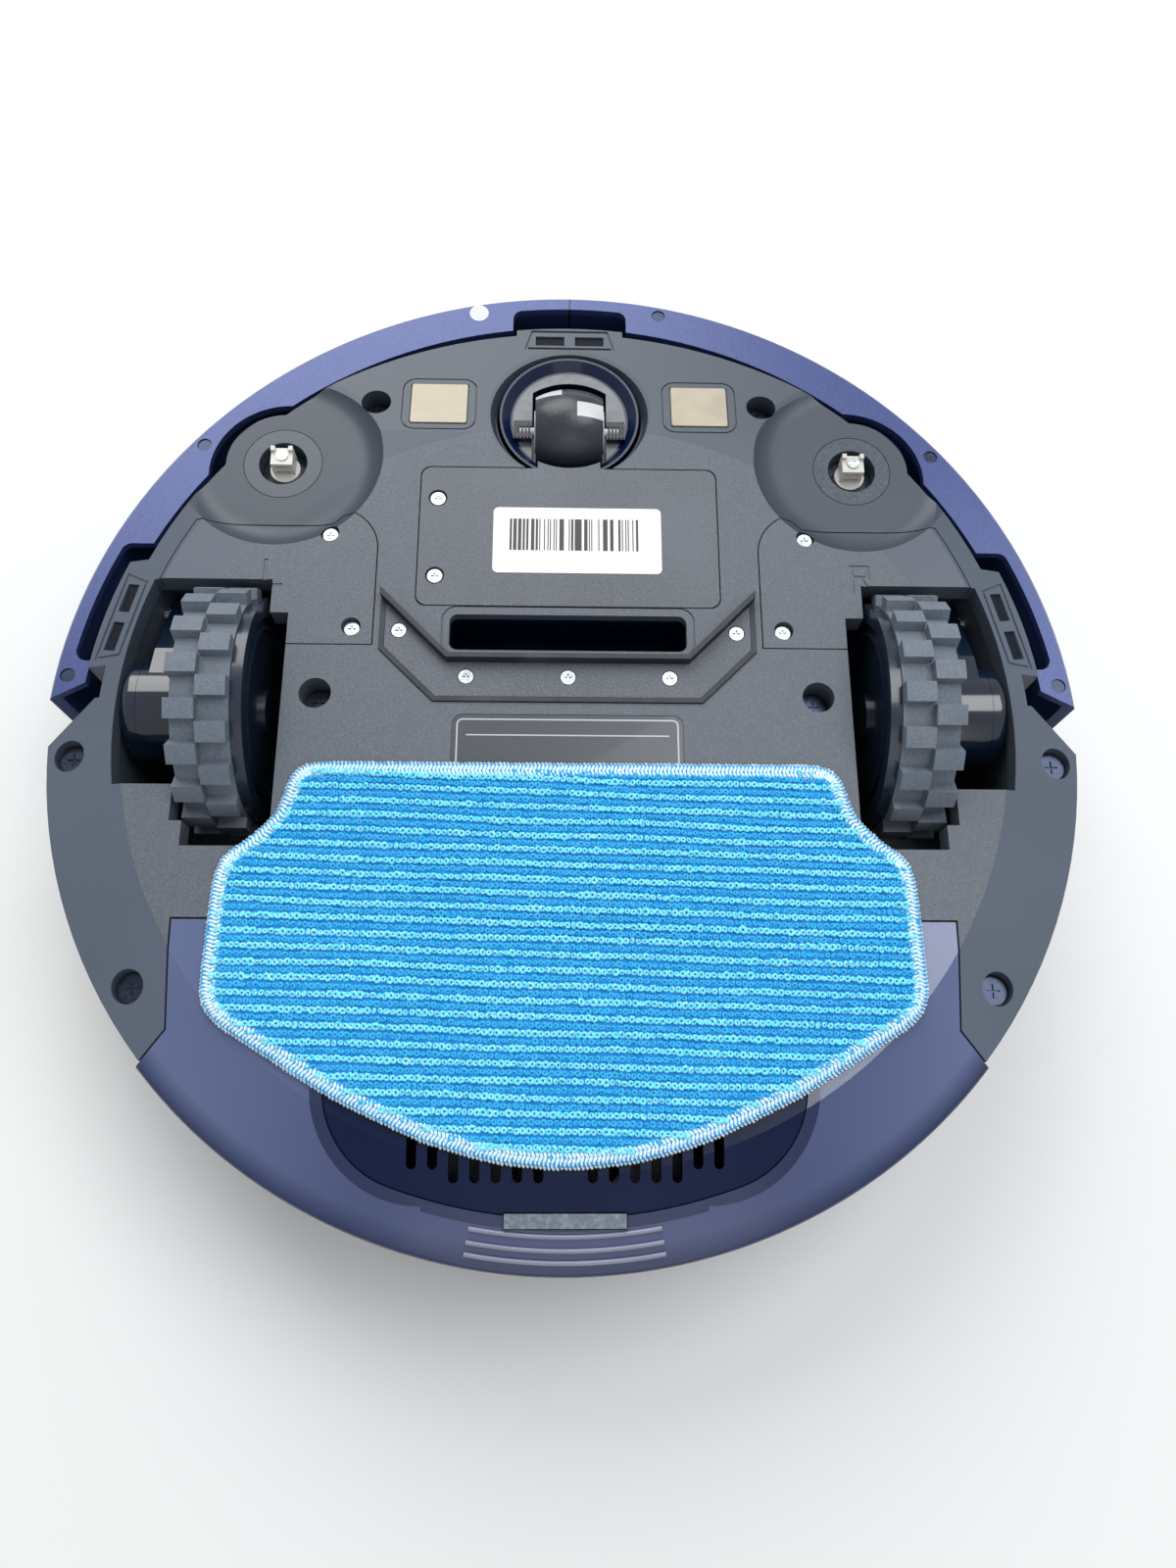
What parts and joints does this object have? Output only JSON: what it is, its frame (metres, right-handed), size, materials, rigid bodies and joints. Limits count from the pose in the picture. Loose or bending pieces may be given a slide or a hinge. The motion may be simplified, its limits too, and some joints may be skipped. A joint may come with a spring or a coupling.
{
  "type": "robot vacuum",
  "caption": "Round robot vacuum lying on its back: sprung drive wheels, front castor, side brush drives, slotted inlet, sprung bumper, and slide-out dust bin with a mop cloth.",
  "frame": {"origin": "centre of the outside of the flat top cover, which the part lies on", "axes": "+Z from the top cover towards the wheels, +Y towards the bumper at the front, +X towards the wheel marked R"},
  "size_m": [0.2798, 0.2797, 0.088],
  "materials": {
    "chassis_plastic": "moulded, fine spark-eroded grain, dark blue grey",
    "housing_plastic": "moulded, fine grain, near black",
    "top_cover_plastic": "glossy dark blue",
    "bumper_plastic": "metallic blue paint with fine flakes",
    "infrared_window": "glossy, almost black",
    "bin_plastic": "smoky translucent blue",
    "panel_plastic": "fine grain, dark navy",
    "latch_plastic": "ribbed, dark grey",
    "filter_paper": "pleated paper in a plastic frame",
    "fan_plastic": "moulded, black",
    "tyre_rubber": "matt grey rubber with small sparkling grain",
    "castor_rubber": "satin black rubber",
    "castor_white": "white",
    "castor_gloss": "glossy near black navy",
    "hub_plastic": "satin to glossy black",
    "gearbox_plastic": "glossy black",
    "arm_plastic": "grey, moulded",
    "steel": "plain steel",
    "screw_steel": "bright plated steel",
    "black_screw": "blackened steel",
    "seal_white": "plain white",
    "shaft_ivory": "ivory",
    "bezel_plastic": "satin dark blue grey",
    "contact_plate": "nickel with a champagne tint",
    "blade_rubber": "matt black rubber",
    "duct_plastic": "near black",
    "sensor_window": "glossy black",
    "label_film": "white label film with dark bars",
    "plate_film": "dark satin film, blank",
    "mop_fabric": "bright blue looped terry",
    "battery_wrap": "shrink wrap",
    "board": "circuit board",
    "motor_can": "plated steel can",
    "switch_plastic": "black",
    "button_plastic": "satin silver"
  },
  "bodies": {
    "chassis": {"battery_cover": "chassis_plastic", "battery_pack": "battery_wrap", "brush_bezels": "bezel_plastic", "bumper_springs": "steel", "bumper_switches": "switch_plastic", "charging_contacts": "contact_plate", "chassis_base": "chassis_plastic", "chassis_screws": "black_screw", "cliff_windows": "sensor_window", "cover_screws": "screw_steel", "inlet_frame": "chassis_plastic", "inlet_screws": "screw_steel", "inlet_squeegee": "blade_rubber", "left_brush_motor": "motor_can", "left_wheel_cover": "chassis_plastic", "main_board": "board", "pivot_pins": "steel", "rating_plate": "plate_film", "right_brush_motor": "motor_can", "right_wheel_cover": "chassis_plastic", "serial_label": "label_film", "suction_duct": "duct_plastic", "suspension_springs": "steel", "top_cover": "top_cover_plastic", "upper_housing": "housing_plastic"},
    "bumper": {"bumper_shell": "bumper_plastic", "bumper_window": "infrared_window", "bumper_screws": "black_screw", "screw_seal": "seal_white"},
    "dust_bin": {"bin_shell": "bin_plastic", "bin_panel": "panel_plastic", "bin_filter": "filter_paper", "fan_housing": "fan_plastic"},
    "fan": {"fan_impeller": "fan_plastic"},
    "latch": {"bin_latch": "latch_plastic"},
    "mop": {"mop_cloth": "mop_fabric"},
    "button": {"power_button": "button_plastic"},
    "castor_fork": {"castor_swivel": "castor_gloss"},
    "castor_wheel": {"castor_core": "castor_white", "castor_tyre": "castor_rubber"},
    "left_wheel_arm": {"left_wheel_gearbox": "arm_plastic", "left_drive_motor": "motor_can", "left_gearbox_cover": "gearbox_plastic"},
    "left_wheel": {"left_wheel_hub": "hub_plastic", "left_tyre": "tyre_rubber", "left_wheel_axle": "steel"},
    "left_brush_drive": {"left_brush_shaft": "shaft_ivory", "left_brush_screw": "screw_steel"},
    "right_wheel_arm": {"right_wheel_gearbox": "arm_plastic", "right_drive_motor": "motor_can", "right_gearbox_cover": "gearbox_plastic"},
    "right_wheel": {"right_wheel_hub": "hub_plastic", "right_tyre": "tyre_rubber", "right_wheel_axle": "steel"},
    "right_brush_drive": {"right_brush_shaft": "shaft_ivory", "right_brush_screw": "screw_steel"}
  },
  "joints": [
    {"name": "bumper_press", "type": "slide", "parent": "chassis", "child": "bumper", "axis": [0, -1, 0], "range_m": [0, 0.003], "stiffness_N_per_m": 250, "springref_m": -0.003, "deforming": ["bumper_springs"]},
    {"name": "castor_swivel_turn", "type": "hinge", "parent": "chassis", "child": "castor_fork", "pos_m": [0, 0.0945, 0.05], "axis": [0, 0, 1], "continuous": true},
    {"name": "castor_wheel_spin", "type": "hinge", "parent": "castor_fork", "child": "castor_wheel", "pos_m": [0, 0.09, 0.063], "axis": [1, 0, 0], "continuous": true},
    {"name": "bin_slide", "type": "slide", "parent": "chassis", "child": "dust_bin", "axis": [0, -1, 0], "range_m": [0, 0.1]},
    {"name": "fan_spin", "type": "hinge", "parent": "dust_bin", "child": "fan", "pos_m": [0, -0.1056, 0.035], "axis": [0, 0, 1], "continuous": true},
    {"name": "latch_press", "type": "slide", "parent": "dust_bin", "child": "latch", "axis": [0, 0, -1], "range_m": [0, 0.0015], "stiffness_N_per_m": 400, "springref_m": -0.002},
    {"name": "mop_lift", "type": "slide", "parent": "dust_bin", "child": "mop", "axis": [0, 0, 1], "range_m": [0, 0.03]},
    {"name": "button_press", "type": "slide", "parent": "chassis", "child": "button", "axis": [0, 0, 1], "range_m": [0, 0.0006], "stiffness_N_per_m": 600, "springref_m": -0.001},
    {"name": "left_suspension", "type": "hinge", "parent": "chassis", "child": "left_wheel_arm", "pos_m": [-0.107, 0.036, 0.05], "axis": [1, 0, 0], "range_deg": [0, 22], "stiffness_Nm_per_rad": 0.4, "springref_deg": -28.65, "deforming": ["suspension_springs"]},
    {"name": "left_wheel_spin", "type": "hinge", "parent": "left_wheel_arm", "child": "left_wheel", "pos_m": [-0.091, 0.0045, 0.054], "axis": [1, 0, 0], "continuous": true},
    {"name": "left_brush_spin", "type": "hinge", "parent": "chassis", "child": "left_brush_drive", "pos_m": [-0.082, 0.077, 0.065], "axis": [0, 0, 1], "continuous": true},
    {"name": "right_suspension", "type": "hinge", "parent": "chassis", "child": "right_wheel_arm", "pos_m": [0.107, 0.036, 0.05], "axis": [1, 0, 0], "range_deg": [0, 22], "stiffness_Nm_per_rad": 0.4, "springref_deg": -28.65, "deforming": ["suspension_springs"]},
    {"name": "right_wheel_spin", "type": "hinge", "parent": "right_wheel_arm", "child": "right_wheel", "pos_m": [0.091, 0.0045, 0.054], "axis": [1, 0, 0], "continuous": true},
    {"name": "right_brush_spin", "type": "hinge", "parent": "chassis", "child": "right_brush_drive", "pos_m": [0.082, 0.077, 0.065], "axis": [0, 0, 1], "continuous": true}
  ]
}
